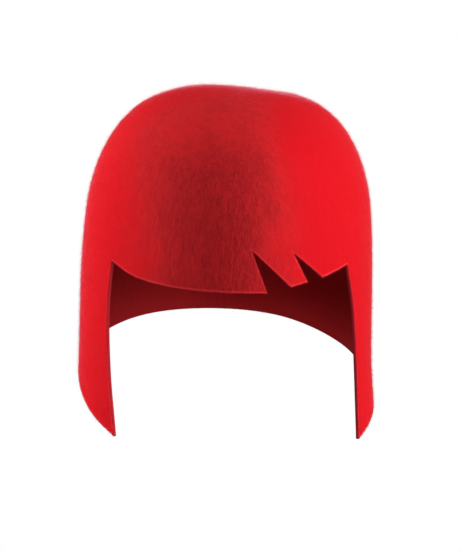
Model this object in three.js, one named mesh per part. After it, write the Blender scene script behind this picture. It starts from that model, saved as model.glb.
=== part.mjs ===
// A red wool felt hat cut like bobbed hair: a deep round crown, a fringe with two slanting notches over
// the brow, and two long pointed locks in front of the ears. It is one piece of felt, blocked to shape and
// then trimmed along a single cut edge, so it is one hollow solid with a wall of even thickness.
// Millimetres, +Z up. The front faces -Y and the wearer's left is +X. The origin is the point inside the
// crown where the top of the head carries the hat.
import * as THREE from 'three';

// Driving sizes, outside the felt. A drop is measured straight down from the level of the crown.
const HAT_WIDTH = 171; // across the ears
const HAT_DEPTH = 206; // brow to the back of the head
const CROWN_HEIGHT = 112; // from the crown down to where the wall stands upright
const FELT_THICKNESS = 2;
const RIGHT_TEMPLE_DROP = 96.8; // corner between the fringe and the wearer's right lock
const LEFT_TEMPLE_DROP = 97.6;
const FRINGE_DROP = 112.4; // lowest line of the fringe
const LONG_NOTCH_HEIGHT = 25.9; // notch at the end of the fringe, from the fringe's lowest line up
const SHORT_NOTCH_HEIGHT = 16.3; // notch between the two teeth, from the first tooth up
const NAPE_DROP = 133.6; // cut edge at the middle of the back
const RIGHT_LOCK_DROP = 196; // points of the two locks
const LEFT_LOCK_DROP = 198;

// Mesh sizes. The mesh has a square patch over the crown, then rows once round down to the cut edge.
const PATCH_LEVEL = 3; // row of SECTIONS at which the patch ends
const CROWN_LINE_DROP = 0.6 * CROWN_HEIGHT; // where the mesh columns start to fan out to the cut edge
const CROWN_ROWS = 6; // rows of facets between the patch and the crown line
const SKIRT_ROWS = 9; // rows of facets between the crown line and the cut edge

// Level sections of the blocked form, from the crown down. drop is a share of CROWN_HEIGHT, half_width of
// half the width, front and back of half the depth, and set_back, the section's centre, of the depth.
const SECTIONS = [
  { drop: 0.0, half_width: 0.0, front: 0.0, back: 0.0, set_back: 0.03 },
  { drop: 0.019, half_width: 0.343, front: 0.33, back: 0.33, set_back: 0.028 },
  { drop: 0.069, half_width: 0.558, front: 0.54, back: 0.56, set_back: 0.024 },
  { drop: 0.168, half_width: 0.727, front: 0.71, back: 0.735, set_back: 0.016 },
  { drop: 0.308, half_width: 0.847, front: 0.848, back: 0.858, set_back: 0.009 },
  { drop: 0.485, half_width: 0.93, front: 0.94, back: 0.94, set_back: 0.004 },
  { drop: 0.69, half_width: 0.971, front: 0.985, back: 0.985, set_back: 0.0 },
  { drop: 0.933, half_width: 0.992, front: 1.0, back: 1.0, set_back: 0.0 },
  { drop: 1.194, half_width: 0.999, front: 1.0, back: 0.99, set_back: 0.0 },
  { drop: 1.53, half_width: 1.008, front: 0.995, back: 0.965, set_back: 0.0 },
  { drop: 1.866, half_width: 1.02, front: 0.985, back: 0.94, set_back: 0.0 },
  { drop: 2.8, half_width: 1.05, front: 0.96, back: 0.9, set_back: 0.0 },
];

// Dents of the hand-blocked crown, pushed in along the felt's outward direction, and swellings, whose
// depth is negative. angle is in degrees from the front towards the wearer's left; drop is a share of
// CROWN_HEIGHT; reach and depth are shares of HAT_WIDTH.
const DENTS = [
  { place: 'high_crown', angle: -60, drop: 0.011, reach: 0.187, depth: -0.0257 },
  { place: 'crown_corner', angle: 80, drop: 0.052, reach: 0.24, depth: -0.0135 },
  { place: 'crown_dip', angle: 75, drop: 0.022, reach: 0.082, depth: 0.0053 },
  { place: 'left_shoulder', angle: 90, drop: 0.373, reach: 0.292, depth: -0.0181 },
  { place: 'left_lock', angle: 75, drop: 1.7, reach: 0.14, depth: -0.004 },
];

// The corners of the two teeth lie between the left temple and the lowest line of the fringe.
const FIRST_TOOTH_DROP = between(LEFT_TEMPLE_DROP, FRINGE_DROP, 0.78);
const FIRST_TOOTH_END_DROP = between(LEFT_TEMPLE_DROP, FRINGE_DROP, 0.6);
const SECOND_TOOTH_DROP = between(LEFT_TEMPLE_DROP, FRINGE_DROP, 0.45);
const LONG_NOTCH_DROP = FRINGE_DROP - LONG_NOTCH_HEIGHT;
const SHORT_NOTCH_DROP = FIRST_TOOTH_END_DROP - SHORT_NOTCH_HEIGHT;

// The cut edge, once round from the nape past the wearer's right. Each stretch runs from one corner to the
// next, and its knots give the angle from the front in degrees, the share of the way from the stretch's
// first drop to its last, the angle on the crown line from which the mesh column comes down, and the number
// of columns to the next knot. The steps add up to a multiple of 4.
const CUT_EDGE = [
  {
    stretch: 'right_side',
    first: NAPE_DROP,
    last: RIGHT_LOCK_DROP,
    knots: [
      { angle: -180, share: 0.0, lead: -180, steps: 6 },
      { angle: -150, share: 0.052, lead: -159, steps: 7 },
      { angle: -120, share: 0.23, lead: -137, steps: 6 },
      { angle: -95, share: 0.467, lead: -118, steps: 4 },
      { angle: -80, share: 0.666, lead: -106, steps: 3 },
      { angle: -66, share: 0.85, lead: -95, steps: 3 },
    ],
  },
  {
    stretch: 'right_lock_front',
    first: RIGHT_LOCK_DROP,
    last: RIGHT_TEMPLE_DROP,
    knots: [
      { angle: -53.3, share: 0.0, lead: -85, steps: 3 },
      { angle: -56.5, share: 0.36, lead: -76, steps: 3 },
      { angle: -58.2, share: 0.685, lead: -67, steps: 3 },
    ],
  },
  {
    stretch: 'fringe',
    first: RIGHT_TEMPLE_DROP,
    last: FRINGE_DROP,
    knots: [
      { angle: -56.3, share: 0.0, lead: -57, steps: 4 },
      { angle: -43, share: 0.53, lead: -45, steps: 4 },
      { angle: -26, share: 0.877, lead: -31, steps: 4 },
      { angle: -8, share: 0.99, lead: -17, steps: 4 },
    ],
  },
  {
    stretch: 'long_notch_right',
    first: FRINGE_DROP,
    last: LONG_NOTCH_DROP,
    knots: [{ angle: 8.8, share: 0.0, lead: -6, steps: 3 }],
  },
  {
    stretch: 'long_notch_left',
    first: LONG_NOTCH_DROP,
    last: FIRST_TOOTH_DROP,
    knots: [{ angle: 2.8, share: 0.0, lead: -1, steps: 4 }],
  },
  {
    stretch: 'first_tooth',
    first: FIRST_TOOTH_DROP,
    last: FIRST_TOOTH_END_DROP,
    knots: [{ angle: 18.6, share: 0.0, lead: 3.5, steps: 2 }],
  },
  {
    stretch: 'short_notch_right',
    first: FIRST_TOOTH_END_DROP,
    last: SHORT_NOTCH_DROP,
    knots: [{ angle: 25.9, share: 0.0, lead: 7.5, steps: 3 }],
  },
  {
    stretch: 'short_notch_left',
    first: SHORT_NOTCH_DROP,
    last: SECOND_TOOTH_DROP,
    knots: [{ angle: 19.9, share: 0.0, lead: 12.5, steps: 3 }],
  },
  {
    stretch: 'second_tooth',
    first: SECOND_TOOTH_DROP,
    last: LEFT_TEMPLE_DROP,
    knots: [{ angle: 33.1, share: 0.0, lead: 24, steps: 4 }],
  },
  {
    stretch: 'left_lock_front',
    first: LEFT_TEMPLE_DROP,
    last: LEFT_LOCK_DROP,
    knots: [
      { angle: 47.5, share: 0.0, lead: 43, steps: 3 },
      { angle: 52, share: 0.27, lead: 53, steps: 3 },
      { angle: 54.3, share: 0.6, lead: 63, steps: 4 },
    ],
  },
  {
    stretch: 'left_side',
    first: LEFT_LOCK_DROP,
    last: NAPE_DROP,
    knots: [
      { angle: 55.8, share: 0.0, lead: 75, steps: 3 },
      { angle: 68, share: 0.123, lead: 88, steps: 4 },
      { angle: 83, share: 0.278, lead: 101, steps: 4 },
      { angle: 100, share: 0.563, lead: 115, steps: 5 },
      { angle: 120, share: 0.748, lead: 132, steps: 7 },
      { angle: 150, share: 0.935, lead: 157, steps: 6 },
    ],
  },
];
const KNOTS = CUT_EDGE.flatMap((row, i) =>
  row.knots.map((knot, j) => ({
    ...knot,
    drop: between(row.first, row.last, knot.share),
    corner: j === 0 && i > 0,
  })),
);
const COLUMNS = KNOTS.reduce((sum, knot) => sum + knot.steps, 0);
const PATCH_STEPS = COLUMNS / 4;

function between(start, end, share) {
  return start + (end - start) * share;
}

// Smooth curve through four evenly spaced values, from the second to the third.
function smoothBetween(before, start, end, after, share) {
  const linear = end - before;
  const square = 2 * before - 5 * start + 4 * end - after;
  const cube = 3 * start - before - 3 * end + after;
  return start + 0.5 * share * (linear + share * (square + share * cube));
}

// The section of the form at a level, which counts the rows of SECTIONS and may lie between two of them.
// Above the crown the rows go on as their mirror image, so that the crown is round and not pointed.
function sectionAt(level) {
  const last = SECTIONS.length - 1;
  const row = Math.min(Math.floor(level), last - 1);
  const value = (column) => {
    const start = SECTIONS[row][column];
    const end = SECTIONS[row + 1][column];
    const mirrored = column === 'drop' || column === 'set_back' ? end : -end;
    const before = row > 0 ? SECTIONS[row - 1][column] : mirrored;
    const after = row + 2 > last ? 2 * end - start : SECTIONS[row + 2][column];
    return smoothBetween(before, start, end, after, level - row);
  };
  return {
    drop: value('drop') * CROWN_HEIGHT,
    halfWidth: (value('half_width') * HAT_WIDTH) / 2,
    front: (value('front') * HAT_DEPTH) / 2,
    back: (value('back') * HAT_DEPTH) / 2,
    setBack: value('set_back') * HAT_DEPTH,
  };
}

// The level whose section lies at a drop in millimetres, by halving.
function levelAtDrop(drop) {
  let low = 0;
  let high = SECTIONS.length - 1;
  for (let halving = 0; halving < 40; halving++) {
    const middle = (low + high) / 2;
    if (sectionAt(middle).drop < drop) low = middle;
    else high = middle;
  }
  return low;
}

// A place on the form: a vector from the crown as seen from above, whose direction is the angle from the
// front and whose length is the level.
function placeAt(angle, level) {
  const turn = THREE.MathUtils.degToRad(angle);
  return new THREE.Vector2(Math.sin(turn), -Math.cos(turn)).multiplyScalar(level);
}

// The point of the smooth form at a place, before it is dented.
function formPoint(place) {
  const level = place.length();
  const section = sectionAt(level);
  const side = level > 0 ? place.x / level : 0;
  const rear = level > 0 ? place.y / level : 0;
  const reach = rear < 0 ? section.front : section.back;
  return new THREE.Vector3(section.halfWidth * side, section.setBack + reach * rear, -section.drop);
}

// Outward direction of a surface at a place, from two short chords of it.
function outward(surface, place) {
  const step = 0.02;
  const chord = (x, y) => {
    const ahead = surface(place.clone().add(new THREE.Vector2(x, y)));
    return ahead.sub(surface(place.clone().sub(new THREE.Vector2(x, y))));
  };
  return chord(step, 0).cross(chord(0, step)).normalize();
}

const DENT_CENTRES = DENTS.map((dent) =>
  formPoint(placeAt(dent.angle, levelAtDrop(dent.drop * CROWN_HEIGHT))),
);

// The outer face of the felt.
function outerPoint(place) {
  const point = formPoint(place);
  const push = DENTS.reduce((sum, dent, i) => {
    const away = point.distanceTo(DENT_CENTRES[i]) / (dent.reach * HAT_WIDTH);
    return sum + dent.depth * HAT_WIDTH * Math.exp(-away * away);
  }, 0);
  return point.addScaledVector(outward(formPoint, place), -push);
}

// The inner face of the felt, one thickness inside the outer face.
function innerPoint(place) {
  return outerPoint(place).addScaledVector(outward(outerPoint, place), -FELT_THICKNESS);
}

// Angle, drop and lead of the cut edge at each mesh column, in smooth curves between the corners.
function cutEdgeColumns() {
  const knotAt = (i) => {
    const turns = Math.floor(i / KNOTS.length);
    const knot = KNOTS[i - turns * KNOTS.length];
    return { ...knot, angle: knot.angle + 360 * turns, lead: knot.lead + 360 * turns };
  };
  return KNOTS.flatMap((start, i) => {
    const end = knotAt(i + 1);
    const before = knotAt(i - 1);
    const after = knotAt(i + 2);
    const curve = (column, share) => {
      const first = start.corner ? 2 * start[column] - end[column] : before[column];
      const last = end.corner ? 2 * end[column] - start[column] : after[column];
      return smoothBetween(first, start[column], end[column], last, share);
    };
    return Array.from({ length: start.steps }, (_, step) => {
      const share = step / start.steps;
      return {
        angle: curve('angle', share),
        drop: curve('drop', share),
        lead: between(start.lead, end.lead, share),
      };
    });
  });
}

// The place of a corner of the square patch, bent to a round disk. across and along run from -1 to 1.
function patchPlace(across, along) {
  const x = across * Math.sqrt(1 - (along * along) / 2);
  const y = along * Math.sqrt(1 - (across * across) / 2);
  return new THREE.Vector2(x, y).multiplyScalar(PATCH_LEVEL);
}

// The square patch over the crown: its places and quads, and its border from the middle of the back edge
// past the wearer's right.
function crownPatch() {
  const side = PATCH_STEPS + 1;
  const places = [];
  for (let row = 0; row < side; row++) {
    for (let column = 0; column < side; column++) {
      places.push(patchPlace((2 * column) / PATCH_STEPS - 1, (2 * row) / PATCH_STEPS - 1));
    }
  }
  const quads = [];
  for (let row = 0; row < PATCH_STEPS; row++) {
    for (let column = 0; column < PATCH_STEPS; column++) {
      const corner = row * side + column;
      quads.push([corner, corner + 1, corner + side + 1, corner + side]);
    }
  }
  const steps = Array.from({ length: PATCH_STEPS }, (_, step) => step);
  const round = [
    ...steps.map((step) => PATCH_STEPS * side + PATCH_STEPS - step),
    ...steps.map((step) => (PATCH_STEPS - step) * side),
    ...steps,
    ...steps.map((step) => step * side + PATCH_STEPS),
  ];
  const middle = PATCH_STEPS / 2;
  return { places, quads, border: [...round.slice(middle), ...round.slice(0, middle)] };
}

// The places of all mesh corners, the quads between them, and the corners along the cut edge.
function feltGrid() {
  const { places, quads, border } = crownPatch();
  const edge = cutEdgeColumns();
  const patchAngles = border.map((corner, i) =>
    i === 0 ? -180 : THREE.MathUtils.radToDeg(Math.atan2(places[corner].x, -places[corner].y)),
  );
  let above = border;
  const addRow = (placeOf) => {
    const row = edge.map((column, i) => places.push(placeOf(column, i)) - 1);
    row.forEach((corner, i) => {
      const next = (i + 1) % COLUMNS;
      quads.push([above[i], corner, row[next], above[next]]);
    });
    above = row;
  };
  const crownLine = levelAtDrop(CROWN_LINE_DROP);
  for (let step = 1; step <= CROWN_ROWS; step++) {
    const share = step / CROWN_ROWS;
    const level = between(PATCH_LEVEL, crownLine, share);
    addRow((column, i) => placeAt(between(patchAngles[i], column.lead, share), level));
  }
  for (let step = 1; step <= SKIRT_ROWS; step++) {
    const share = step / SKIRT_ROWS;
    addRow((column) => {
      const level = levelAtDrop(between(CROWN_LINE_DROP, column.drop, share));
      return placeAt(between(column.lead, column.angle, share), level);
    });
  }
  return { places, quads, rim: above };
}

// The felt as one closed body: the outer face, the inner face and the cut edge that joins them.
function feltGeometry() {
  const { places, quads, rim } = feltGrid();
  const seat = innerPoint(placeAt(0, 0));
  const points = [...places.map(outerPoint), ...places.map(innerPoint)].map((point) => point.sub(seat));
  const inner = places.length;
  const triangles = [];
  quads.forEach(([a, b, c, d]) => {
    triangles.push(a, b, c, a, c, d);
    triangles.push(inner + a, inner + c, inner + b, inner + a, inner + d, inner + c);
  });
  rim.forEach((corner, i) => {
    const next = rim[(i + 1) % rim.length];
    triangles.push(corner, inner + next, next, corner, inner + corner, inner + next);
  });
  const geometry = new THREE.BufferGeometry().setFromPoints(points);
  geometry.setIndex(triangles);
  geometry.computeVertexNormals();
  return geometry;
}

const redFelt = new THREE.MeshStandardMaterial({ color: 0xb5121b, roughness: 0.95, metalness: 0 });

const felt = new THREE.Mesh(feltGeometry(), redFelt);
felt.name = 'felt_body';

const hat = new THREE.Group();
hat.add(felt);

export default hat;
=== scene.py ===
"""A red wool felt hat cut like bobbed hair, dressed for a soft studio picture.

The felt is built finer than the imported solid, with rounded cut edges and a short nap of fibres.
Metres, +Z up, the front faces -Y and the wearer's left is +X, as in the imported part.
"""

import logging
import math
from collections.abc import Callable, Mapping
from dataclasses import astuple, dataclass, field
from enum import Enum

import bpy
import numpy as np
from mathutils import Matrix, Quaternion, Vector

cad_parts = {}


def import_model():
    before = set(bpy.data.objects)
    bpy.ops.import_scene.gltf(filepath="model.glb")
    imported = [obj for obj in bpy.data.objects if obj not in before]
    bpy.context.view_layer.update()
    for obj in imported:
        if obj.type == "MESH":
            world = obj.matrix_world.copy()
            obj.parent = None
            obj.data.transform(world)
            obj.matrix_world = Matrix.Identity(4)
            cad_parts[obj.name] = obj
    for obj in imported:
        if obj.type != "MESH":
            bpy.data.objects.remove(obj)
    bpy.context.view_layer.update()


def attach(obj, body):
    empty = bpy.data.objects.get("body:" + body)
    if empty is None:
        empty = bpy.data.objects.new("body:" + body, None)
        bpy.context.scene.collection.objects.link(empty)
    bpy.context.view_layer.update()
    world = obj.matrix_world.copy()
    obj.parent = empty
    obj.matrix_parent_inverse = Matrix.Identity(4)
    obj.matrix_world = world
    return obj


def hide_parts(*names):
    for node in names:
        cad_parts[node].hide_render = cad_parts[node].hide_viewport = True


log = logging.getLogger("felt_hat")

Places = np.ndarray
Points = np.ndarray
Amount = float | np.ndarray
Span = tuple[float, float]
Colour = tuple[float, float, float, float]
KnotRow = tuple[float, float, float, int]
Random = np.random.Generator
Socket = bpy.types.NodeSocket

UP = np.array([0.0, 0.0, 1.0])
TINY = 1e-12
HALVINGS = 40
EDGE_BATCHES = 40
EDGE_DISTANCE = "edge_distance"


class Side(Enum):
    """The two faces of the felt."""

    OUTER = 1
    INNER = -1


class Finish(Enum):
    """The finishes of the felt, by their place among its materials."""

    OUTSIDE = 0
    # The inside's finish is a darker, greyer copy of the felt: painted shade and a painted grey
    # veil.
    INSIDE = 1
    # The cut faces' finish paints shade: a dark copy of the felt.
    CUT = 2


def between(start: Amount, end: Amount, share: Amount) -> Amount:
    """The value that lies a share of the way from start to end."""
    return start + (end - start) * share


def smooth_between(
    before: Amount, start: Amount, end: Amount, after: Amount, share: Amount
) -> Amount:
    """A smooth curve through four evenly spaced values, from the second to the third.

    Args:
        before: Value ahead of the curve.
        start: Value where the curve starts.
        end: Value where the curve ends.
        after: Value past the curve.
        share: How far along, from 0 to 1.

    Returns:
        The curve's value, a number or an array like the values given.
    """
    linear = end - before
    square = 2 * before - 5 * start + 4 * end - after
    cube = 3 * start - before - 3 * end + after
    return start + 0.5 * share * (linear + share * (square + share * cube))


def unit(vectors: np.ndarray) -> np.ndarray:
    """The vectors of an array's last axis, each at length 1."""
    return vectors / np.maximum(np.linalg.norm(vectors, axis=-1, keepdims=True), TINY)


def place_at(angle: np.ndarray, level: np.ndarray) -> Places:
    """Places at angles in degrees from the front, towards the wearer's left, and at levels."""
    turn = np.radians(angle)
    return np.stack([np.sin(turn) * level, -np.cos(turn) * level], axis=1)


@dataclass(frozen=True)
class Section:
    """A level section of the blocked form, in shares of the hat's sizes."""

    drop: float
    half_width: float
    front: float
    back: float
    set_back: float


@dataclass(frozen=True)
class Dent:
    """A dent of the hand-blocked crown, or a swelling if its depth is negative.

    angle is in degrees from the front, drop a share of the crown's height, and reach and depth are
    shares of the hat's width.
    """

    place: str
    angle: float
    drop: float
    reach: float
    depth: float


SECTIONS = (
    Section(0.0, 0.0, 0.0, 0.0, 0.03),
    Section(0.019, 0.343, 0.33, 0.33, 0.028),
    Section(0.069, 0.558, 0.54, 0.56, 0.024),
    Section(0.168, 0.727, 0.71, 0.735, 0.016),
    Section(0.308, 0.847, 0.848, 0.858, 0.009),
    Section(0.485, 0.93, 0.94, 0.94, 0.004),
    Section(0.69, 0.971, 0.985, 0.985, 0.0),
    Section(0.933, 0.992, 1.0, 1.0, 0.0),
    Section(1.194, 0.999, 1.0, 0.99, 0.0),
    Section(1.53, 1.008, 0.995, 0.965, 0.0),
    Section(1.866, 1.02, 0.985, 0.94, 0.0),
    Section(2.8, 1.05, 0.96, 0.9, 0.0),
)

DENTS = (
    Dent("high_crown", -60, 0.011, 0.187, -0.0257),
    Dent("crown_corner", 80, 0.052, 0.24, -0.0135),
    Dent("crown_dip", 75, 0.022, 0.082, 0.0053),
    Dent("left_shoulder", 90, 0.373, 0.292, -0.0181),
    Dent("left_lock", 76, 1.66, 0.11, -0.0062),
    Dent("left_lock_waist", 84, 1.36, 0.12, 0.002),
    Dent("right_lock_curl", -50, 1.74, 0.13, 0.0085),
    Dent("crown_tip", 84, 0.033, 0.05, -0.0032),
    Dent("right_crown", -95, 0.074, 0.06, -0.0032),
)


@dataclass(frozen=True)
class FeltForm:
    """The smooth form that the felt was blocked on, with its dents.

    A place on the form is a vector from the crown as seen from above: its direction is the angle
    from the front, and its length is the level, which counts the rows of the section table. The
    sizes are in metres, over the outside of the felt.
    """

    width: float = 0.171
    depth: float = 0.206
    crown_height: float = 0.112
    thickness: float = 0.002
    half_chord: float = 0.02
    sections: tuple[Section, ...] = SECTIONS
    dents: tuple[Dent, ...] = DENTS

    def section(self, level: np.ndarray) -> np.ndarray:
        """The section at each level.

        Args:
            level: Levels, from 0 at the crown.

        Returns:
            Rows of drop, half width, front, back and set-back, in metres.
        """
        table = np.array([astuple(section) for section in self.sections])
        across_the_crown = np.array([1, -1, -1, -1, 1])
        rows = np.vstack([table[1] * across_the_crown, table, 2 * table[-1] - table[-2]])
        row = np.clip(np.floor(level).astype(int), 0, len(table) - 2)
        share = (level - row)[:, None]
        shares = smooth_between(rows[row], rows[row + 1], rows[row + 2], rows[row + 3], share)
        sizes = (self.crown_height, self.width / 2, self.depth / 2, self.depth / 2, self.depth)
        return shares * np.array(sizes)

    def level_at_drop(self, drop: np.ndarray) -> np.ndarray:
        """The level whose section lies at each drop, by halving.

        Args:
            drop: Distances straight down from the crown, in metres.

        Returns:
            The levels.
        """
        low = np.zeros(len(drop))
        high = np.full(len(drop), len(self.sections) - 1.0)
        for _ in range(HALVINGS):
            middle = (low + high) / 2
            above = self.section(middle)[:, 0] < drop
            low = np.where(above, middle, low)
            high = np.where(above, high, middle)
        return low

    def base(self, places: Places) -> Points:
        """The points of the form before it is dented.

        Args:
            places: Where the points are wanted.

        Returns:
            The points, measured from the crown of the form.
        """
        level = np.linalg.norm(places, axis=1)
        drop, half_width, front, back, set_back = self.section(level).T
        side, rear = (places / np.maximum(level, TINY)[:, None]).T
        reach = np.where(rear < 0, front, back)
        return np.stack([half_width * side, set_back + reach * rear, -drop], axis=1)

    def outward(self, surface: Callable[[Places], Points], places: Places) -> np.ndarray:
        """Outward directions of a surface, from two short chords of it at each place.

        Args:
            surface: Turns places into points.
            places: Where the directions are wanted.

        Returns:
            Unit vectors.
        """
        across, along = np.array([self.half_chord, 0.0]), np.array([0.0, self.half_chord])
        chord_x = surface(places + across) - surface(places - across)
        chord_y = surface(places + along) - surface(places - along)
        return unit(np.cross(chord_x, chord_y))

    def outer(self, places: Places) -> Points:
        """The points of the felt's outer face.

        Args:
            places: Where the points are wanted.

        Returns:
            The points, measured from the crown of the form.
        """
        points = self.base(places)
        push = np.zeros(len(places))
        for dent in self.dents:
            level = self.level_at_drop(np.array([dent.drop * self.crown_height]))
            centre = self.base(place_at(np.array([dent.angle]), level))[0]
            away = np.linalg.norm(points - centre, axis=1) / (dent.reach * self.width)
            push += dent.depth * self.width * np.exp(-(away**2))
        return points - push[:, None] * self.outward(self.base, places)

    def frames(self, places: Places) -> tuple[Points, np.ndarray]:
        """Points of the outer face in the hat's own frame, with their outward directions."""
        normals = self.outward(self.outer, places)
        return self.outer(places) - self.seat(), normals

    def seat(self) -> np.ndarray:
        """The point inside the crown that the head carries, which is the hat's origin."""
        crown = np.zeros((1, 2))
        return (self.outer(crown) - self.thickness * self.outward(self.outer, crown))[0]


@dataclass(frozen=True)
class Knot:
    """A knot of the cut edge.

    angle is in degrees from the front, drop in metres, lead the angle on the crown line where its
    mesh column starts, and steps the number of columns to the next knot.
    """

    angle: float
    drop: float
    lead: float
    steps: int
    corner: bool = False


# Stretches of the cut edge: angle, share of the way down, lead and steps of each knot.
NAPE_TO_RIGHT_LOCK = (
    (-180, 0.0, -180, 6),
    (-150, 0.052, -159, 7),
    (-120, 0.23, -137, 6),
    (-95, 0.467, -118, 4),
    (-80, 0.666, -106, 3),
    (-66, 0.85, -95, 3),
)
RIGHT_LOCK_TO_TEMPLE = (
    (-53.3, 0.0, -85, 3),
    (-56.5, 0.36, -76, 3),
    (-58.2, 0.685, -67, 3),
)
RIGHT_TEMPLE_TO_FRINGE = (
    (-56.3, 0.0, -57, 4),
    (-43, 0.53, -45, 4),
    (-26, 0.84, -31, 4),
    (-8, 0.975, -17, 4),
)
LEFT_TEMPLE_TO_LOCK = (
    (47.5, 0.0, 43, 3),
    (52, 0.27, 53, 3),
    (54.3, 0.6, 63, 4),
)
LEFT_LOCK_TO_NAPE = (
    (55.8, 0.0, 75, 3),
    (68, 0.123, 88, 4),
    (83, 0.318, 101, 4),
    (100, 0.563, 115, 5),
    (120, 0.748, 132, 7),
    (150, 0.944, 157, 6),
)


@dataclass(frozen=True)
class CutEdge:
    """The cut edge of the felt, once round from the nape past the wearer's right.

    Each corner is given by its drop in metres, the lower corners of the teeth by their shares of
    the way down from the left temple to the fringe, and the notches by their heights in metres.
    """

    nape: float = 0.1336
    right_lock: float = 0.196
    left_lock: float = 0.198
    right_temple: float = 0.0968
    left_temple: float = 0.0976
    fringe: float = 0.1124
    first_tooth_start: float = 0.78
    first_tooth_end: float = 0.6
    second_tooth: float = 0.45
    long_notch: float = 0.0237
    short_notch: float = 0.0163

    def knots(self) -> list[Knot]:
        """The knots in order.

        Returns:
            The knots, from the nape.
        """
        shares = (self.first_tooth_start, self.first_tooth_end, self.second_tooth)
        tooth_start, tooth_end, second_tooth = (
            between(self.left_temple, self.fringe, share) for share in shares
        )
        return [
            *self.stretch(self.nape, self.right_lock, NAPE_TO_RIGHT_LOCK, corner=False),
            *self.stretch(self.right_lock, self.right_temple, RIGHT_LOCK_TO_TEMPLE),
            *self.stretch(self.right_temple, self.fringe, RIGHT_TEMPLE_TO_FRINGE),
            Knot(9.1, self.fringe, -6, 3, corner=True),
            Knot(3.0, self.fringe - self.long_notch, -1, 4, corner=True),
            Knot(18.6, tooth_start, 3.5, 2, corner=True),
            Knot(25.9, tooth_end, 7.5, 3, corner=True),
            Knot(19.7, tooth_end - self.short_notch, 12.5, 3, corner=True),
            Knot(33.1, second_tooth, 24, 4, corner=True),
            *self.stretch(self.left_temple, self.left_lock, LEFT_TEMPLE_TO_LOCK),
            *self.stretch(self.left_lock, self.nape, LEFT_LOCK_TO_NAPE),
        ]

    def stretch(
        self, first: float, last: float, rows: tuple[KnotRow, ...], corner: bool = True
    ) -> list[Knot]:
        """The knots of one stretch.

        Args:
            first: Drop at the start of the stretch.
            last: Drop at its end.
            rows: Angle, share of the way down, lead and steps of each knot.
            corner: Whether the first knot is a sharp corner.

        Returns:
            The knots.
        """
        return [
            Knot(angle, between(first, last, share), lead, steps, corner and i == 0)
            for i, (angle, share, lead, steps) in enumerate(rows)
        ]

    def knot_values(self, knots: list[Knot], number: int) -> np.ndarray:
        """Angle, drop and lead of a knot, counted on round the hat.

        Args:
            knots: All the knots.
            number: Number of the knot, which may be below 0 or past the last.

        Returns:
            The three values, with a full turn more for each time round.
        """
        turns, place = divmod(number, len(knots))
        knot = knots[place]
        return np.array([knot.angle + 360 * turns, knot.drop, knot.lead + 360 * turns])

    def columns(self, fineness: int) -> np.ndarray:
        """Angle, drop and lead at each mesh column.

        Args:
            fineness: How many columns stand for each step of the knots.

        Returns:
            One row per column.
        """
        knots = self.knots()
        rows = []
        for i, knot in enumerate(knots):
            start, end = self.knot_values(knots, i), self.knot_values(knots, i + 1)
            ends_at_corner = knots[(i + 1) % len(knots)].corner
            before = 2 * start - end if knot.corner else self.knot_values(knots, i - 1)
            after = 2 * end - start if ends_at_corner else self.knot_values(knots, i + 2)
            for step in range(knot.steps * fineness):
                share = step / (knot.steps * fineness)
                row = smooth_between(before, start, end, after, share)
                row[2] = between(start[2], end[2], share)
                rows.append(row)
        return np.array(rows)


@dataclass(frozen=True)
class Grid:
    """A mesh over the form: places, quads between them, and the corners along the cut edge."""

    places: Places
    quads: np.ndarray
    rim: np.ndarray


@dataclass(frozen=True)
class Faces:
    """The felt's outer and inner face, point by point, with the quads that both share.

    out holds the directions that point out of the felt across the cut edge, one for each rim point.
    edge_fuzz is how far down the cut edge its free fibres stand, as a share of its height.
    """

    outer: Points
    inner: Points
    normals: np.ndarray
    quads: np.ndarray
    rim: np.ndarray
    out: np.ndarray
    edge_fuzz: float = 0.45

    def scatter(self, side: Side, count: int, rng: Random) -> tuple[Points, np.ndarray]:
        """Places fibres at random over one face, evenly by area.

        Args:
            side: Which face.
            count: How many fibres.
            rng: Source of chance.

        Returns:
            The fibres' roots and the directions straight out of the felt there.
        """
        points = self.outer if side is Side.OUTER else self.inner
        corners = points[self.quads]
        diagonals = corners[:, 2] - corners[:, 0], corners[:, 3] - corners[:, 1]
        sizes = np.linalg.norm(np.cross(*diagonals), axis=1)
        chosen = self.quads[rng.choice(len(sizes), size=count, p=sizes / sizes.sum())]
        u, v = rng.random((2, count, 1))
        shares = [(1 - u) * (1 - v), u * (1 - v), u * v, (1 - u) * v]
        roots = sum(share * points[chosen[:, i]] for i, share in enumerate(shares))
        normals = sum(share * self.normals[chosen[:, i]] for i, share in enumerate(shares))
        return roots, unit(normals) * side.value

    def scatter_edge(self, count: int, rng: Random) -> tuple[Points, np.ndarray]:
        """Places fibres at random along the cut edge, most of them near its outer corner.

        Args:
            count: How many fibres.
            rng: Source of chance.

        Returns:
            The fibres' roots and the directions that they stand up in.
        """
        outer, inner = self.outer[self.rim], self.inner[self.rim]
        normals = self.normals[self.rim]
        lengths = np.linalg.norm(np.roll(outer, -1, axis=0) - outer, axis=1)
        first = rng.choice(len(lengths), size=count, p=lengths / lengths.sum())
        second = (first + 1) % len(lengths)
        along, down, lift = rng.random((3, count, 1))
        outer_roots = between(outer[first], outer[second], along)
        inner_roots = between(inner[first], inner[second], along)
        roots = between(outer_roots, inner_roots, self.edge_fuzz * down**2)
        out = between(self.out[first], self.out[second], along)
        return roots, unit(out + lift * between(normals[first], normals[second], along))


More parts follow.
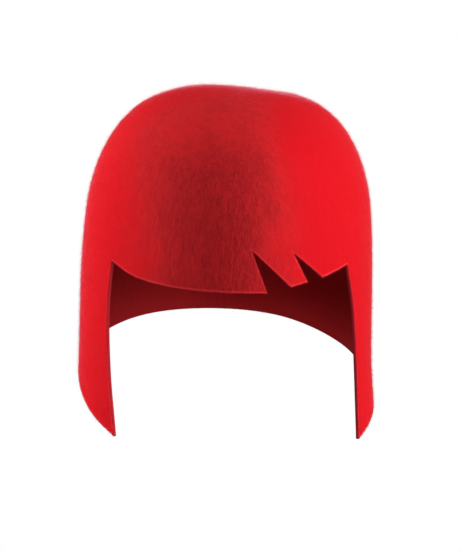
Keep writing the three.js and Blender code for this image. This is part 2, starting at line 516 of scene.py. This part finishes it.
@dataclass(frozen=True)
class FeltBody:
    """The felt itself: both faces and the rounded cut edge, as one closed mesh.

    The mesh starts as a patch over the crown, runs down in rows to the crown line, and from there
    in more rows to the cut edge. The trims and the bulge round the edge, and are in metres.
    """

    form: FeltForm
    edge: CutEdge
    patch_level: float = 3.0
    crown_line: float = 0.0672
    fineness: int = 4
    crown_rows: int = 20
    skirt_rows: int = 40
    edge_rows: int = 8
    edge_bulge: float = 0.0006
    outer_trim: float = 0.0004
    inner_trim: float = 0.0006
    edge_squareness: float = 2.3
    felted_edge_rows: int = 1
    sharp_angle: float = 50.0

    def patch(self, steps: int) -> tuple[Places, np.ndarray, np.ndarray]:
        """The square patch over the crown, bent to a round disk.

        Args:
            steps: Quads along one side.

        Returns:
            Its places, its quads, and its border from the middle of the back past the wearer's
            right.
        """
        line = np.linspace(-1, 1, steps + 1)
        along, across = np.meshgrid(line, line, indexing="ij")
        x = across * np.sqrt(1 - along**2 / 2)
        y = along * np.sqrt(1 - across**2 / 2)
        places = np.stack([x.ravel(), y.ravel()], axis=1) * self.patch_level
        at = np.arange((steps + 1) ** 2).reshape(steps + 1, steps + 1)
        quads = np.stack([at[:-1, :-1], at[:-1, 1:], at[1:, 1:], at[1:, :-1]], axis=-1)
        border = [*at[-1, :0:-1], *at[:0:-1, 0], *at[0, :-1], *at[:-1, -1]]
        return places, quads.reshape(-1, 4), np.roll(border, -(steps // 2))

    def grid(self) -> Grid:
        """The whole mesh over the form, from the crown to the cut edge.

        Returns:
            The mesh.
        """
        edge = self.edge.columns(self.fineness)
        angle, drop, lead = edge.T
        places, quads, above = self.patch(len(edge) // 4)
        border = places[above]
        patch_angle = np.degrees(np.arctan2(border[:, 0], -border[:, 1]))
        patch_angle[0] = -180
        crown_line = self.form.level_at_drop(np.array([self.crown_line]))[0]
        rows = []
        for share in np.arange(1, self.crown_rows + 1) / self.crown_rows:
            level = np.full(len(edge), between(self.patch_level, crown_line, share))
            rows.append(place_at(between(patch_angle, lead, share), level))
        for share in np.arange(1, self.skirt_rows + 1) / self.skirt_rows:
            level = self.form.level_at_drop(between(self.crown_line, drop, share))
            rows.append(place_at(between(lead, angle, share), level))
        rings = len(places) + np.arange(len(rows) * len(edge)).reshape(len(rows), len(edge))
        all_quads = [quads]
        for ring in rings:
            all_quads.append(self.strip(above, ring))
            above = ring
        return Grid(np.vstack([places, *rows]), np.vstack(all_quads), above)

    def strip(self, above: np.ndarray, below: np.ndarray) -> np.ndarray:
        """The quads between two rings of corners, given by their numbers."""
        return np.stack([above, below, np.roll(below, -1), np.roll(above, -1)], axis=1)

    def rim_directions(self, rim: Points, normals: np.ndarray) -> np.ndarray:
        """Directions that point out of the felt across the cut edge, in the felt's own surface.

        Args:
            rim: Points along the cut edge.
            normals: Outward directions of the felt there.

        Returns:
            Unit vectors.
        """
        ahead = unit(np.roll(rim, -1, axis=0) - rim)
        behind = unit(rim - np.roll(rim, 1, axis=0))
        return unit(unit(np.cross(ahead, normals)) + unit(np.cross(behind, normals)))

    def faces(self) -> Faces:
        """The felt's two faces, trimmed along the cut edge.

        Returns:
            The faces.
        """
        grid = self.grid()
        outer, normals = self.form.frames(grid.places)
        inner = outer - normals * self.form.thickness
        out = self.rim_directions(outer[grid.rim], normals[grid.rim])
        outer[grid.rim] -= out * self.outer_trim
        inner[grid.rim] -= out * self.inner_trim
        return Faces(outer, inner, normals, grid.quads, grid.rim, out)

    def build(self, name: str, faces: Faces) -> bpy.types.Object:
        """Makes the felt's mesh.

        Args:
            name: Name of the new object.
            faces: The felt's two faces.

        Returns:
            The object, linked to the scene.
        """
        rim = faces.rim
        middle = (faces.outer[rim] + faces.inner[rim]) / 2
        half = (faces.outer[rim] - faces.inner[rim]) / 2
        power = 2 / self.edge_squareness
        points = [faces.outer, faces.inner]
        quads = [faces.quads, faces.quads[:, ::-1] + len(faces.outer)]
        above = rim
        count = 2 * len(faces.outer)
        for turn in np.pi * np.arange(1, self.edge_rows) / self.edge_rows:
            lift = np.sign(np.cos(turn)) * abs(np.cos(turn)) ** power
            bulge = np.sin(turn) ** power * self.edge_bulge
            points.append(middle + half * lift + faces.out * bulge)
            here = count + np.arange(len(rim))
            quads.append(self.strip(above, here))
            above = here
            count += len(rim)
        quads.append(self.strip(above, rim + len(faces.outer)))
        made = mesh_object(name, np.vstack(points), np.vstack(quads))
        made.data.set_sharp_from_angle(angle=math.radians(self.sharp_angle))
        face, felted = len(faces.quads), self.felted_edge_rows * len(rim)
        counts = (face, face, felted, len(made.data.polygons) - 2 * face - felted)
        order = (Finish.OUTSIDE, Finish.INSIDE, Finish.OUTSIDE, Finish.CUT)
        finishes = np.repeat([finish.value for finish in order], counts).astype(np.int32)
        made.data.polygons.foreach_set("material_index", finishes)
        distance = made.data.attributes.new(EDGE_DISTANCE, "FLOAT", "POINT")
        distance.data.foreach_set("value", self.edge_distances(faces, count))
        return made

    def edge_distances(self, faces: Faces, count: int) -> np.ndarray:
        """How far each point of the felt lies from the cut edge, in metres.

        Args:
            faces: The felt's two faces.
            count: Number of points of the felt, of which those past the two faces are on the edge.

        Returns:
            One distance for each point.
        """
        rim = faces.outer[faces.rim]
        nearest = np.concatenate(
            [
                np.linalg.norm(batch[:, None] - rim, axis=2).min(axis=1)
                for batch in np.array_split(faces.outer, EDGE_BATCHES)
            ]
        )
        on_edge = np.zeros(count - 2 * len(nearest))
        return np.concatenate([nearest, nearest, on_edge]).astype(np.float32)


# Corners of the four triangles that share a fibre's square of the texture.
FIBRE_MAP = np.array(
    [
        [[0.1, 0.05], [0.9, 0.05], [0.5, 0.45]],
        [[0.95, 0.1], [0.95, 0.9], [0.55, 0.5]],
        [[0.9, 0.95], [0.1, 0.95], [0.5, 0.55]],
        [[0.05, 0.9], [0.05, 0.1], [0.45, 0.5]],
    ]
)
SPIKE = np.array([[0, 1, 3], [1, 2, 3], [2, 0, 3], [0, 2, 1]])


@dataclass(frozen=True)
class Nap:
    """Short fibres that stand out of the felt, each a slim closed spike.

    Lengths are in metres. lean is how far a fibre leans over from straight out and stray how far
    it turns from straight down the hat, both in degrees. The limits of length and width are shares
    of the nap's own, and flare is how far the fibres spread from the hat's middle as they run down.
    """

    name: str
    side: Side
    count: int
    length: float
    width: float
    lean: float
    stray: float
    seed: int
    lean_spread: float = 9.0
    lean_limits: Span = (20.0, 86.0)
    length_limits: Span = (0.45, 1.25)
    width_limits: Span = (0.6, 1.3)
    flare: float = 0.3
    twist: float = 0.1
    root_depth: float = 0.0002

    def directions(
        self, roots: Points, away: np.ndarray, rng: Random
    ) -> tuple[np.ndarray, np.ndarray]:
        """The directions that the fibres run in, down the hat and leaning out of it.

        Args:
            roots: Where the fibres leave the felt.
            away: Unit vectors straight out of the felt at the roots.
            rng: Source of chance.

        Returns:
            Unit vectors along the fibres, and across them.
        """
        count = len(roots)
        radial = roots * (1, 1, 0)
        down = unit(radial) * self.flare - UP
        down = unit(down - away * np.sum(down * away, axis=1, keepdims=True))
        side = np.cross(away, down)
        turn = np.radians(rng.normal(0, self.stray, (count, 1)))
        leans = np.clip(rng.normal(self.lean, self.lean_spread, (count, 1)), *self.lean_limits)
        lean = np.radians(leans)
        along = np.cos(turn) * down + np.sin(turn) * side
        fibre = unit(np.cos(lean) * away + np.sin(lean) * along)
        return fibre, unit(np.cross(fibre, away + self.twist * side))

    def build(self, roots: Points, away: np.ndarray, rng: Random) -> bpy.types.Object:
        """Makes the fibres.

        Args:
            roots: Where the fibres leave the felt.
            away: Unit vectors straight out of the felt at the roots.
            rng: Source of chance.

        Returns:
            The object, linked to the scene.
        """
        count = len(roots)
        fibre, across = self.directions(roots, away, rng)
        third = np.cross(fibre, across)
        length = self.length * rng.uniform(*self.length_limits, (count, 1))
        width = self.width * rng.uniform(*self.width_limits, (count, 1))
        foot = roots - away * self.root_depth
        corners = [
            foot + width * (math.cos(angle) * across + math.sin(angle) * third) / 2
            for angle in (0, 2 * math.pi / 3, 4 * math.pi / 3)
        ]
        points = np.stack([*corners, foot + fibre * length], axis=1).reshape(-1, 3)
        faces = (4 * np.arange(count)[:, None, None] + SPIKE).reshape(-1, 3)
        made = mesh_object(self.name, points, faces)
        self.map_fibres(made.data, count)
        return made

    def map_fibres(self, mesh: bpy.types.Mesh, count: int) -> None:
        """Gives every fibre its own square of the texture, a quarter for each of its faces.

        Args:
            mesh: The mesh of all the fibres.
            count: How many fibres.
        """
        row = math.ceil(math.sqrt(count))
        cell = np.stack(np.divmod(np.arange(count), row), axis=1)[:, None, None, :]
        places = (cell + FIBRE_MAP) / row
        layer = mesh.uv_layers.new(name="OFBake")
        layer.data.foreach_set("uv", places.astype(np.float32).ravel())


def mesh_object(name: str, points: Points, faces: np.ndarray) -> bpy.types.Object:
    """A smooth-shaded mesh object, linked to the scene.

    Args:
        name: Name of the object and its mesh.
        points: Corners, in metres.
        faces: Rows of corner numbers, all with as many corners.

    Returns:
        The object.
    """
    mesh = bpy.data.meshes.new(name)
    sides = faces.shape[1]
    mesh.vertices.add(len(points))
    mesh.vertices.foreach_set("co", points.astype(np.float32).ravel())
    mesh.loops.add(faces.size)
    mesh.loops.foreach_set("vertex_index", faces.astype(np.int32).ravel())
    mesh.polygons.add(len(faces))
    starts = np.arange(0, faces.size, sides, dtype=np.int32)
    mesh.polygons.foreach_set("loop_start", starts)
    mesh.update(calc_edges=True)
    mesh.validate()
    mesh.shade_smooth()
    made = bpy.data.objects.new(name, mesh)
    bpy.context.scene.collection.objects.link(made)
    return made


@dataclass
class Value:
    """A shader socket that Python's operators work on, each adding one Math node."""

    graph: "Graph"
    socket: Socket

    def __add__(self, other: "Value | float") -> "Value":
        """The sum."""
        return self.graph.math("ADD", self, other)

    def __radd__(self, other: float) -> "Value":
        """The sum, with the number first."""
        return self.graph.math("ADD", other, self)

    def __sub__(self, other: "Value | float") -> "Value":
        """The difference."""
        return self.graph.math("SUBTRACT", self, other)

    def __rsub__(self, other: float) -> "Value":
        """The difference, with the number first."""
        return self.graph.math("SUBTRACT", other, self)

    def __mul__(self, other: "Value | float") -> "Value":
        """The product."""
        return self.graph.math("MULTIPLY", self, other)

    def __rmul__(self, other: float) -> "Value":
        """The product, with the number first."""
        return self.graph.math("MULTIPLY", other, self)

    def __abs__(self) -> "Value":
        """The value without its sign."""
        return self.graph.math("ABSOLUTE", self)


class Graph:
    """The nodes of one material."""

    # Sockets of a Mix node that mixes colours, by number.
    MIX_SHARE, MIX_FIRST, MIX_SECOND, MIX_RESULT = 0, 6, 7, 2

    def __init__(self, name: str) -> None:
        """Makes an empty material.

        Args:
            name: Name of the material.
        """
        self.material = bpy.data.materials.new(name)
        self.material.use_nodes = True
        self.tree = self.material.node_tree
        self.tree.nodes.clear()

    def node(
        self,
        kind: str,
        settings: Mapping[str, object] | None = None,
        inputs: Mapping[str | int, object] | None = None,
    ) -> bpy.types.Node:
        """Adds a node.

        Args:
            kind: Type of the node, as Blender names it.
            settings: Properties, which are set first.
            inputs: Values or links by socket name or number.

        Returns:
            The node.
        """
        made = self.tree.nodes.new(kind)
        for key, value in (settings or {}).items():
            setattr(made, key, value)
        for key, value in (inputs or {}).items():
            if isinstance(value, Value):
                value = value.socket
            if isinstance(value, Socket):
                self.tree.links.new(value, made.inputs[key])
            else:
                made.inputs[key].default_value = value
        return made

    def math(self, operation: str, *values: Value | float) -> Value:
        """The result of a Math node."""
        inputs = dict(enumerate(values))
        return Value(self, self.node("ShaderNodeMath", {"operation": operation}, inputs).outputs[0])

    def scaled(self, vector: Socket, factors: tuple[float, float, float]) -> Socket:
        """A vector with each of its numbers multiplied by a factor."""
        settings = {"operation": "MULTIPLY"}
        return self.node("ShaderNodeVectorMath", settings, {0: vector, 1: factors}).outputs[0]

    def noise(self, vector: Socket, detail: float, roughness: float = 0.5) -> Value:
        """Soft noise around a half, one bump to each unit of the vector."""
        inputs = {"Vector": vector, "Scale": 1.0, "Detail": detail, "Roughness": roughness}
        return Value(self, self.node("ShaderNodeTexNoise", {}, inputs).outputs[0])

    def step(self, value: Value, span: Span, start: float, end: float) -> Value:
        """A soft step, which stays as it is past both ends of its span.

        Args:
            value: The value that the step follows.
            span: Values where the step starts and ends.
            start: Result at the start.
            end: Result at the end.

        Returns:
            The result.
        """
        inputs = {0: value, 1: span[0], 2: span[1], 3: start, 4: end}
        settings = {"interpolation_type": "SMOOTHSTEP"}
        return Value(self, self.node("ShaderNodeMapRange", settings, inputs).outputs[0])

    def blend(self, share: Value, first: Socket | Colour, second: Socket | Colour) -> Socket:
        """A colour that goes from the first to the second as the share goes from 0 to 1."""
        inputs = {self.MIX_SHARE: share, self.MIX_FIRST: first, self.MIX_SECOND: second}
        return self.node("ShaderNodeMix", {"data_type": "RGBA"}, inputs).outputs[self.MIX_RESULT]

    def finished(self, looks: Mapping[str, object]) -> bpy.types.Material:
        """Ends the material with a surface.

        Args:
            looks: Values or links of the surface's sockets, by name.

        Returns:
            The material.
        """
        surface = self.node("ShaderNodeBsdfPrincipled", {}, looks).outputs[0]
        self.node("ShaderNodeOutputMaterial", {}, {"Surface": surface})
        return self.material


@dataclass(frozen=True)
class FrontShadePatch:
    """Painted shade over the middle of the front, where the side lights leave it dark: the red is
    painted deeper there, and a wider ring round it gets fainter painted shade and a greyer red in
    place of a veil of stray light. The grain's streaks and pits are painted stronger in it, in
    place of fibres that catch the raking light, and its bump is raised.

    The patch runs down a line that leans by the tilt, and its border wanders. The reaches, tops and
    front say where a mask goes from full to nothing, in metres. depth, pits, streaks, mottle and
    border_depth are shares of the way to the deep red. The ranges cut the noises to shape.
    """

    middle: float = -0.0222
    tilt: float = 0.107
    right_reach: Span = (0.004, 0.057)
    left_reach: Span = (0.012, 0.041)
    top: Span = (-0.054, -0.017)
    wide_shade_reach: Span = (0.026, 0.056)
    wide_shade_top: Span = (-0.010, 0.006)
    front: Span = (-0.060, -0.030)
    wander_scale: tuple[float, float, float] = (45.0, 45.0, 30.0)
    wander: float = 0.03
    depth: float = 0.56
    pits: float = 0.14
    streaks: float = 0.33
    mottle: float = 0.3
    border_depth: float = 0.05
    streak_range: Span = (0.43, 0.60)
    mottle_range: Span = (0.4, 0.6)

    def masks(self, g: Graph, place: Socket) -> tuple[Value, Value]:
        """The masks of the patch, each from 0 to 1.

        Args:
            g: Nodes of the material.
            place: Places on the hat.

        Returns:
            How far the deep painted shade reaches, and how far the wider, fainter painted shade
            reaches round it.
        """
        parts = g.node("ShaderNodeSeparateXYZ", {}, {0: place}).outputs
        x, y, z = (Value(g, part) for part in parts)
        wander = (g.noise(g.scaled(place, self.wander_scale), 3.0) - 0.5) * self.wander
        leftward = x - self.middle + z * self.tilt + wander
        front = g.step(y, self.front, 1.0, 0.0)
        front_shade = g.step(leftward, self.left_reach, 1.0, 0.0)
        front_shade = front_shade * g.step(-1 * leftward, self.right_reach, 1.0, 0.0)
        front_shade = front_shade * g.step(z + wander, self.top, 1.0, 0.0)
        wide_shade = g.step(abs(leftward), self.wide_shade_reach, 1.0, 0.0)
        wide_shade = wide_shade * g.step(z, self.wide_shade_top, 1.0, 0.0)
        return front_shade * front, wide_shade * front


@dataclass(frozen=True)
class Grain:
    """A noise of the felt, by its bumps on the width and on the length of a fibre."""

    across: float
    along: float
    detail: float
    roughness: float = 0.5


@dataclass(frozen=True)
class WoolFelt:
    """Pressed wool felt, dyed red, with short fibres that lie down the hat.

    Sizes of the fibres are in metres. Near the cut edge the felt goes part of the way to a paler
    red, up to the limit given and over the span of distances given: partly paler cut felt, partly a
    painted highlight where the rounded edge catches the light. The ranges cut the noises to shape.
    """

    name: str
    red: Colour = (0.66, 0.0058, 0.0118, 1.0)
    bright_red: Colour = (0.71, 0.0085, 0.0155, 1.0)
    deep_red: Colour = (0.31, 0.0113, 0.0145, 1.0)
    # A greyer red painted over the shaded front, in place of a veil of stray light there.
    shade_veil_red: Colour = (0.66, 0.0180, 0.0215, 1.0)
    # Paler red near the cut edge: partly paler cut felt, partly a painted highlight along the
    # rounded edge.
    pale_edge_highlight_red: Colour = (0.98, 0.050, 0.070, 1.0)
    pale_edge_highlight_border: Span = (0.0001, 0.0012)
    pale_edge_highlight: float = 0.70
    fibre_width: float = 0.0014
    fibre_length: float = 0.0058
    fibre_height: float = 0.0008
    smoothness: float = 0.75
    strands: Grain = Grain(1.0, 1.0, 2.0, 0.6)
    fine: Grain = Grain(2.4, 2.0, 2.0)
    gaps: Grain = Grain(0.9, 1.1, 1.0)
    tufts: Grain = Grain(0.4, 0.6, 2.0)
    cloud_scale: float = 40.0
    bend_scale: float = 260.0
    bend: float = 0.0026
    gap_range: Span = (0.57, 0.66)
    strand_range: Span = (0.34, 0.66)
    gap_depth: float = 0.05
    roughness: Span = (0.98, 0.9)
    gloss: float = 0.05
    sheen: float = 1.0
    sheen_roughness: float = 0.12
    sheen_tint: Colour = (1.0, 0.60, 0.85, 1.0)
    front_shade: FrontShadePatch | None = None

    def bent(self, g: Graph, place: Socket) -> Socket:
        """Moves the places a little to and fro, so that the fibres aren't straight.

        Args:
            g: Nodes of the material.
            place: Places on the hat.

        Returns:
            The moved places.
        """
        inputs = {"Vector": place, "Scale": self.bend_scale, "Detail": 2.0}
        wander = g.node("ShaderNodeTexNoise", {}, inputs).outputs["Color"]
        shift = g.scaled(wander, (self.bend,) * 3)
        return g.node("ShaderNodeVectorMath", {"operation": "ADD"}, {0: place, 1: shift}).outputs[0]

    def grain(self, g: Graph, place: Socket, grain: Grain) -> Value:
        """Noise that is drawn out down the hat.

        Args:
            g: Nodes of the material.
            place: Places on the hat.
            grain: Which noise.

        Returns:
            The noise, around a half.
        """
        across = grain.across * (1 / self.fibre_width)
        along = grain.along * (1 / self.fibre_length)
        return g.noise(g.scaled(place, (across, across, along)), grain.detail, grain.roughness)

    def pale_edge_highlight_share(self, g: Graph) -> Value:
        """How far the felt goes to the paler red near the cut edge, by its distance from it: partly
        paler cut felt, partly a painted highlight.
        """
        found = g.node("ShaderNodeAttribute", {"attribute_name": EDGE_DISTANCE}).outputs["Fac"]
        return g.step(Value(g, found), self.pale_edge_highlight_border, self.pale_edge_highlight, 0.0)

    def material(self) -> bpy.types.Material:
        """Makes the material.

        Returns:
            The material.
        """
        g = Graph(self.name)
        place = g.node("ShaderNodeTexCoord").outputs["Object"]
        bent = self.bent(g, place)
        grains = (self.strands, self.fine, self.gaps, self.tufts)
        strands, fine, gaps, tufts = (self.grain(g, bent, grain) for grain in grains)
        clouds = g.noise(g.scaled(place, (self.cloud_scale,) * 3), 3.0)
        gap = g.step(gaps, self.gap_range, 0.0, 1.0)
        strand = g.step(strands * 0.7 + fine * 0.3, self.strand_range, 0.0, 1.0)
        tone = g.blend(strand * 0.3 + clouds * 0.4, self.red, self.bright_red)
        depth = gap * self.gap_depth
        height = strands * 0.5 + fine * 0.3 - gap * 0.1
        if self.front_shade is None:
            height = height * (1 - self.smoothness)
        else:
            # Painted shade over the middle of the front: a greyer red over the wide mask, the deep
            # red over the patch, painted streaks, pits and mottle, and a stronger bump.
            patch = self.front_shade
            front_shade, wide_shade = patch.masks(g, place)
            tone = g.blend(wide_shade, tone, self.shade_veil_red)
            streaks = tufts * 0.15 + strands * 0.6 + fine * 0.25
            streaks = g.step(streaks, patch.streak_range, 0.5, -0.5)
            mottle = g.step(tufts * 0.5 + clouds * 0.5, patch.mottle_range, 0.5, -0.5)
            depth = depth + front_shade * (patch.depth + gap * patch.pits)
            depth = depth + streaks * patch.streaks * (front_shade * 0.65 + wide_shade * 0.35)
            depth = depth + (wide_shade - front_shade) * (mottle * patch.mottle + patch.border_depth)
            height = height * (1 - self.smoothness * (1 - front_shade * 0.55 - wide_shade * 0.45))
        height = height + tufts * 0.35
        bump = {"Strength": 1.0, "Distance": self.fibre_height, "Height": height}
        looks = {
            # Near the cut edge the colour goes to a paler red: partly paler cut felt, partly a
            # painted highlight.
            "Base Color": g.blend(
                self.pale_edge_highlight_share(g), g.blend(depth, tone, self.deep_red), self.pale_edge_highlight_red
            ),
            "Roughness": g.step(strand, (0.0, 1.0), *self.roughness),
            "Normal": g.node("ShaderNodeBump", {}, bump).outputs[0],
            "Specular IOR Level": self.gloss,
            "Sheen Weight": self.sheen,
            "Sheen Roughness": self.sheen_roughness,
            "Sheen Tint": self.sheen_tint,
        }
        return g.finished(looks)


@dataclass(frozen=True)
class WoolFibre:
    """The finish of the single fibres of the nap, a little paler than the felt under them."""

    name: str = "red_wool_fibre"
    red: Colour = (0.80, 0.011, 0.018, 1.0)
    pale_red: Colour = (0.95, 0.034, 0.054, 1.0)
    shade_scale: float = 700.0
    shade_range: Span = (0.35, 0.7)
    roughness: float = 0.9
    gloss: float = 0.1

    def material(self) -> bpy.types.Material:
        """Makes the material.

        Returns:
            The material.
        """
        g = Graph(self.name)
        place = g.node("ShaderNodeTexCoord").outputs["Object"]
        shade = g.noise(g.scaled(place, (self.shade_scale,) * 3), 0.0)
        looks = {
            "Base Color": g.blend(
                g.step(shade, self.shade_range, 0.0, 1.0), self.red, self.pale_red
            ),
            "Roughness": self.roughness,
            "Specular IOR Level": self.gloss,
        }
        return g.finished(looks)


@dataclass(frozen=True)
class SoftLight:
    """A rectangular soft light that faces the hat.

    turn is in degrees from the camera's side towards the wearer's left and rise in degrees above
    the hat. distance and size, which is width and height, are in metres, and power is in watts.
    """

    name: str
    turn: float
    rise: float
    distance: float
    size: Span
    power: float


LIGHTS = (
    SoftLight("left_light", 71, 5.5, 1.3, (0.6, 1.2), 17.8),
    SoftLight("right_light", -87, 6.5, 0.6, (0.15, 0.42), 3.35),
    SoftLight("top_light", -7, 61, 0.6, (0.23, 0.23), 0.75),
    SoftLight("low_light", 20, 1.5, 1.3, (0.6, 0.25), 3.4),
    SoftLight("back_light", -170, 50, 1.3, (0.5, 0.5), 4.0),
    SoftLight("left_rim_light", 150, 12, 1.3, (0.5, 0.8), 4.0),
    SoftLight("right_rim_light", -150, 12, 1.3, (0.5, 0.8), 4.0),
)


@dataclass(frozen=True)
class Studio:
    """Camera, lights, pale floor and pale surroundings.

    Distances are in metres, angles in degrees and the sensor in millimetres. The pixels are those
    of the picture, for each metre at the hat and along its long side.
    """

    lights: tuple[SoftLight, ...] = LIGHTS
    aim: tuple[float, float, float] = (0.00259, -0.00627, -0.10951)
    camera_turn: float = -5.5
    camera_rise: float = 3.0
    camera_roll: float = 0.57
    camera_distance: float = 1.6
    pixels_per_metre: float = 1700.0
    long_side: int = 552
    sensor: float = 36.0
    floor_drop: float = 1.5
    floor_radius: float = 8.0
    floor_glow: float = 0.98
    floor_shade: float = 0.1
    backdrop_radius: float = 9.0
    backdrop_glow: float = 1.0
    backdrop_shade: float = 0.0
    ambient: float = 0.12

    def direction(self, turn: float, rise: float) -> Vector:
        """Unit vector away from the hat, turned from the front to the wearer's left and raised."""
        a, e = math.radians(turn), math.radians(rise)
        return Vector((math.sin(a) * math.cos(e), -math.cos(a) * math.cos(e), math.sin(e)))

    def camera(self) -> None:
        """Makes the camera and gives it to the scene."""
        data = bpy.data.cameras.new("camera")
        data.sensor_width = self.sensor
        focal_pixels = self.pixels_per_metre * self.camera_distance
        data.lens = focal_pixels * self.sensor / self.long_side
        made = bpy.data.objects.new("camera", data)
        bpy.context.scene.collection.objects.link(made)
        back = self.direction(self.camera_turn, self.camera_rise)
        made.location = Vector(self.aim) + back * self.camera_distance
        made.rotation_mode = "QUATERNION"
        roll = Quaternion((0, 0, 1), math.radians(self.camera_roll))
        made.rotation_quaternion = (-back).to_track_quat("-Z", "Y") @ roll
        bpy.context.scene.camera = made

    def soft_light(self, light: SoftLight) -> None:
        """Adds a soft light that the camera doesn't see.

        Args:
            light: Its place, size and power.
        """
        data = bpy.data.lights.new(light.name, "AREA")
        data.shape = "RECTANGLE"
        data.size, data.size_y = light.size
        data.energy = light.power
        made = bpy.data.objects.new(light.name, data)
        made.visible_camera = False
        bpy.context.scene.collection.objects.link(made)
        away = self.direction(self.camera_turn + light.turn, light.rise)
        made.location = Vector(self.aim) + away * light.distance
        made.rotation_mode = "QUATERNION"
        made.rotation_quaternion = away.to_track_quat("Z", "Y")

    def pale(self, name: str, glow: float, shade: float) -> bpy.types.Material:
        """A plain pale material for the floor and the surroundings.

        Args:
            name: Name of the material.
            glow: Strength of its own light.
            shade: Grey of the surface, which shows the hat's shadow.

        Returns:
            The material.
        """
        g = Graph(name)
        looks = {
            "Base Color": (shade, shade, shade, 1),
            "Roughness": 0.95,
            "Specular IOR Level": 0.0,
            "Emission Color": (1, 1, 1, 1),
            "Emission Strength": glow,
        }
        return g.finished(looks)

    def surroundings(self) -> None:
        """Makes the floor, the pale dome that only the camera sees, and the dim world."""
        bpy.ops.mesh.primitive_circle_add(
            vertices=96,
            radius=self.floor_radius,
            fill_type="NGON",
            location=(0, 0, -self.floor_drop),
        )
        floor = bpy.context.object
        floor.name = "floor"
        floor.data.materials.append(self.pale("pale_floor", self.floor_glow, self.floor_shade))
        bpy.ops.mesh.primitive_uv_sphere_add(
            segments=64, ring_count=32, radius=self.backdrop_radius
        )
        dome = bpy.context.object
        dome.name = "backdrop"
        pale = self.pale("pale_backdrop", self.backdrop_glow, self.backdrop_shade)
        dome.data.materials.append(pale)
        for staged in (floor, dome):
            staged.visible_diffuse = False
            staged.visible_glossy = False
            staged.visible_transmission = False
        dome.visible_shadow = False
        world = bpy.data.worlds.new("studio")
        world.use_nodes = True
        background = world.node_tree.nodes["Background"].inputs
        background["Color"].default_value = (1, 1, 1, 1)
        background["Strength"].default_value = self.ambient
        bpy.context.scene.world = world

    def build(self) -> None:
        """Sets the whole studio."""
        self.camera()
        self.surroundings()
        for light in self.lights:
            self.soft_light(light)
        view = bpy.context.scene.view_settings
        view.view_transform = "Standard"
        view.look = "None"


@dataclass
class FeltHat:
    """The whole hat."""

    form: FeltForm = field(default_factory=FeltForm)
    edge: CutEdge = field(default_factory=CutEdge)
    # The outside felt carries the painted shade over the middle of the front.
    outside: WoolFelt = WoolFelt("red_wool_felt", front_shade=FrontShadePatch())
    # The inside gets a darker, greyer copy of the felt: painted shade, and a grey veil painted over
    # the shade inside.
    inside: WoolFelt = WoolFelt(
        "red_wool_felt_inside_painted_shade",
        red=(0.56, 0.021, 0.025, 1.0),
        bright_red=(0.61, 0.024, 0.029, 1.0),
        deep_red=(0.34, 0.017, 0.019, 1.0),
        pale_edge_highlight=0.0,
        sheen=0.8,
    )
    # The cut faces get a dark copy of the felt, about half as bright: painted shade on the cut
    # faces, with some of the paler edge red mixed back over them as painted highlight.
    cut: WoolFelt = WoolFelt(
        "red_wool_felt_cut_painted_shade",
        red=(0.30, 0.010, 0.016, 1.0),
        bright_red=(0.38, 0.014, 0.022, 1.0),
        deep_red=(0.20, 0.008, 0.011, 1.0),
        pale_edge_highlight=0.3,
        sheen=0.05,
        fibre_width=0.0006,
        fibre_length=0.0008,
        fibre_height=0.0004,
        smoothness=0.2,
    )
    fibre: WoolFibre = field(default_factory=WoolFibre)
    raw_fibre: WoolFibre = WoolFibre(
        "pale_wool_fibre",
        red=(0.76, 0.028, 0.042, 1.0),
        pale_red=(0.86, 0.052, 0.075, 1.0),
    )
    outer_nap: Nap = Nap(
        "outer_nap", Side.OUTER, 49000, length=0.0032, width=0.00007, lean=58, stray=28, seed=11
    )
    fine_nap: Nap = Nap(
        "fine_nap", Side.OUTER, 49000, length=0.0017, width=0.00006, lean=54, stray=45, seed=14
    )
    inner_nap: Nap = Nap(
        "inner_nap", Side.INNER, 22000, length=0.0015, width=0.00007, lean=68, stray=40, seed=12
    )
    edge_nap: Nap = Nap(
        "edge_nap", Side.OUTER, 49000, length=0.0010, width=0.00011, lean=38, stray=60, seed=13
    )

    def build(self) -> None:
        """Makes each piece of the hat and gives it its finish."""
        body = FeltBody(self.form, self.edge)
        faces = body.faces()
        finishes = {
            Finish.OUTSIDE: self.outside,
            Finish.INSIDE: self.inside,
            Finish.CUT: self.cut,
        }
        materials = [finishes[finish].material() for finish in Finish]
        self.dress(body.build("felt_shell", faces), materials)
        fibre, raw_fibre = self.fibre.material(), self.raw_fibre.material()
        for nap in (self.outer_nap, self.fine_nap, self.inner_nap):
            rng = np.random.default_rng(nap.seed)
            roots, away = faces.scatter(nap.side, nap.count, rng)
            self.dress(nap.build(roots, away, rng), [fibre])
        rng = np.random.default_rng(self.edge_nap.seed)
        roots, away = faces.scatter_edge(self.edge_nap.count, rng)
        self.dress(self.edge_nap.build(roots, away, rng), [raw_fibre])

    def dress(self, piece: bpy.types.Object, materials: list[bpy.types.Material]) -> None:
        """Gives a piece its finishes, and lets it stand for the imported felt.

        Args:
            piece: The piece.
            materials: Its materials, in the order of its faces' finishes.
        """
        for material in materials:
            piece.data.materials.append(material)
        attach(piece, "root")
        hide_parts("felt_body")
        log.info("%s: %d faces", piece.name, len(piece.data.polygons))


def main() -> None:
    """Builds the studio and the hat."""
    logging.basicConfig(level=logging.INFO, format="%(name)s: %(message)s")
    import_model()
    Studio().build()
    FeltHat().build()


if __name__ == "__main__":
    main()
